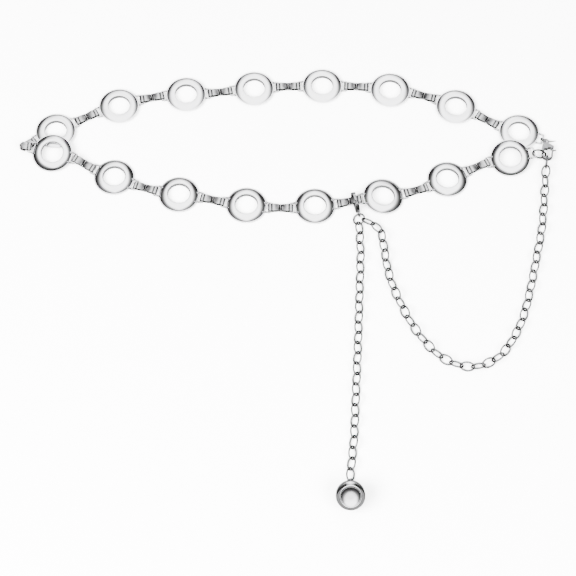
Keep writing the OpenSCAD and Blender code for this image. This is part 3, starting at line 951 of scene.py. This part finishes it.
def ball_centre(solid, below):
    """Centre of the round surface under a height, where its normals meet."""
    low = solid.middles[:, 2] < below
    normals, points, areas = solid.normals[low], solid.middles[low], solid.areas[low]
    across = (np.eye(3)[None] - normals[:, :, None] * normals[:, None, :]) * areas[:, None, None]
    return np.linalg.solve(across.sum(axis=0), np.einsum("nij,nj->i", across, points))


class CHAIN_OT_drop(bpy.types.Operator):
    """Make the round open drop with its raised lip and its loop."""

    bl_idname = "chain.drop"
    bl_label = "Drop"

    def execute(self, context):
        s = context.scene.chain_drop
        centre = Vector(ball_centre(solids("drop")[0], s.across * LOW_PART))
        form = bmesh.new()
        lean = Matrix.Translation(centre) @ Matrix.Rotation(s.lean, 4, "X")
        lathe(form, drop_section(s), TURN_STEPS, lean)
        out = s.across / 2 + s.loop_wire
        ear = centre + out * Vector((0, math.cos(s.loop_dip), -math.sin(s.loop_dip)))
        ring = [
            ear + s.loop * Vector((0, math.cos(a), math.sin(a)))
            for a in (math.tau * k / LOOP_STEPS for k in range(LOOP_STEPS))
        ]
        sweep(form, ring, s.loop_wire / 2, WIRE_SIDES, closed=True, up=Vector((1, 0, 0)))
        bmesh.ops.remove_doubles(form, verts=form.verts, dist=WELD / 2)
        piece = from_form("open_drop", form)
        piece.data.materials.append(ring_metal())
        finish_piece(piece, BELT, "polished_metal", "drop")
        return {"FINISHED"}


# Stage


def floor_material(look):
    """Matt white board, lit white but shown to the metal as the greyer room round it."""
    made = bpy.data.materials.new("white_board")
    made.use_nodes = True
    tree = made.node_tree
    board = tree.nodes["Principled BSDF"]
    board.inputs["Base Color"].default_value = (*look.floor, 1.0)
    board.inputs["Roughness"].default_value = 0.9
    board.inputs["Specular IOR Level"].default_value = 0.0
    room = add_node(tree, "ShaderNodeEmission", {"Color": (1.0, 1.0, 1.0, 1.0), "Strength": look.room})
    ray = add_node(tree, "ShaderNodeLightPath").outputs["Is Glossy Ray"]
    both = add_node(tree, "ShaderNodeMixShader", {
        0: ray, 1: board.outputs["BSDF"], 2: room.outputs["Emission"],
    })
    tree.links.new(both.outputs["Shader"], tree.nodes["Material Output"].inputs["Surface"])
    return made


def sky_bands(tree, height, bands):
    """Greys of the surroundings by height, from (height, grey) pairs, its two ends first."""
    ramp = add_node(tree, "ShaderNodeValToRGB", {"Fac": height})
    stops = ramp.color_ramp.elements
    for k, (place, grey) in enumerate(bands):
        stop = stops[k] if k < 2 else stops.new(place)
        stop.position = place
        stop.color = (grey, grey, grey, 1.0)
    return ramp.outputs["Color"]


def studio_sky(strength):
    """White surroundings with a dark band over the horizon, deepest at the sides."""
    world = bpy.data.worlds.new("studio")
    bpy.context.scene.world = world
    world.use_nodes = True
    tree = world.node_tree
    way = add_node(tree, "ShaderNodeTexCoord").outputs["Generated"]
    split = add_node(tree, "ShaderNodeSeparateXYZ", {0: way}).outputs
    aside = add_node(tree, "ShaderNodeMath", {0: split["X"]}, operation="ABSOLUTE").outputs[0]
    greys = sky_bands(tree, split["Z"], BEHIND_SKY)
    blends = (split["Y"], *AHEAD_BLEND, AHEAD_SKY), (aside, *SIDE_BLEND, SIDE_SKY)
    for part, slope, start, bands in blends:
        share = add_node(tree, "ShaderNodeMath", {
            0: part, 1: slope, 2: start,
        }, operation="MULTIPLY_ADD", use_clamp=True)
        greys = add_node(tree, "ShaderNodeMix", {
            "Factor": share.outputs[0], 6: greys, 7: sky_bands(tree, split["Z"], bands),
        }, data_type="RGBA").outputs[2]
    shade = tree.nodes["Background"]
    shade.inputs["Strength"].default_value = strength
    tree.links.new(greys, shade.inputs["Color"])


class CHAIN_OT_stage(bpy.types.Operator):
    """Set the camera, the floor and the light."""

    bl_idname = "chain.stage"
    bl_label = "Studio"

    def execute(self, context):
        look = context.scene.chain_stage
        camera = bpy.data.objects.new("camera", bpy.data.cameras.new("camera"))
        context.scene.collection.objects.link(camera)
        camera.location = (0, -look.camera_back, look.camera_height)
        aim = Vector((0, -look.aim, 0)) - camera.location
        camera.rotation_euler = aim.to_track_quat("-Z", "Y").to_euler()
        camera.data.lens = look.lens
        camera.data.clip_start = NEAREST
        context.scene.camera = camera

        form = bmesh.new()
        bmesh.ops.create_grid(form, x_segments=1, y_segments=1, size=look.floor_size / 2)
        bmesh.ops.translate(form, verts=form.verts, vec=(0, 0, -look.floor_gap))
        mesh = bpy.data.meshes.new("floor")
        form.to_mesh(mesh)
        form.free()
        floor = add_object("floor", mesh)
        floor.data.materials.append(floor_material(look))

        for name, place, share in LAMPS:
            lamp = bpy.data.lights.new(name, "AREA")
            lamp.shape = "RECTANGLE"
            lamp.size, lamp.size_y = LAMP_LONG, LAMP_WIDE
            lamp.energy = look.lamp * share
            holder = bpy.data.objects.new(name, lamp)
            context.scene.collection.objects.link(holder)
            holder.location = place
            holder.rotation_euler = (-holder.location).to_track_quat("-Z", "Y").to_euler()
            holder.visible_glossy = False
        studio_sky(look.sky)
        return {"FINISHED"}


class CHAIN_PT_panel(bpy.types.Panel):
    """The pieces and their sizes."""

    bl_idname = "CHAIN_PT_panel"
    bl_label = "Waist Chain"
    bl_space_type = "VIEW_3D"
    bl_region_type = "UI"
    bl_category = "Waist Chain"

    def draw(self, context):
        for operator in OPERATORS:
            self.layout.operator(operator.bl_idname)
        for group in GROUPS:
            box = self.layout.box()
            box.label(text=group.__doc__)
            sizes = getattr(context.scene, GROUPS[group])
            for key in group.__annotations__:
                box.prop(sizes, key)


OPERATORS = (
    CHAIN_OT_stage, CHAIN_OT_rings, CHAIN_OT_strips, CHAIN_OT_wires, CHAIN_OT_clasps, CHAIN_OT_drop,
)
GROUPS = {
    RingSizes: "chain_ring", StripSizes: "chain_strip", WireSizes: "chain_wire",
    ClaspSizes: "chain_clasp", DropSizes: "chain_drop", MetalLook: "chain_metal",
    StageLook: "chain_stage",
}


def register():
    """Adds the sizes, the operators and the panel."""
    for group, name in GROUPS.items():
        bpy.utils.register_class(group)
        setattr(bpy.types.Scene, name, PointerProperty(type=group))
    for item in (*OPERATORS, CHAIN_PT_panel):
        bpy.utils.register_class(item)


def unregister():
    """Takes them away again."""
    for item in (CHAIN_PT_panel, *reversed(OPERATORS)):
        bpy.utils.unregister_class(item)
    for group, name in GROUPS.items():
        delattr(bpy.types.Scene, name)
        bpy.utils.unregister_class(group)


def main():
    """Makes the studio and every piece."""
    register()
    bpy.ops.chain.stage()
    bpy.ops.chain.rings()
    bpy.ops.chain.strips()
    bpy.ops.chain.wires()
    bpy.ops.chain.clasps()
    bpy.ops.chain.drop()


if __name__ == "__main__":
    main()
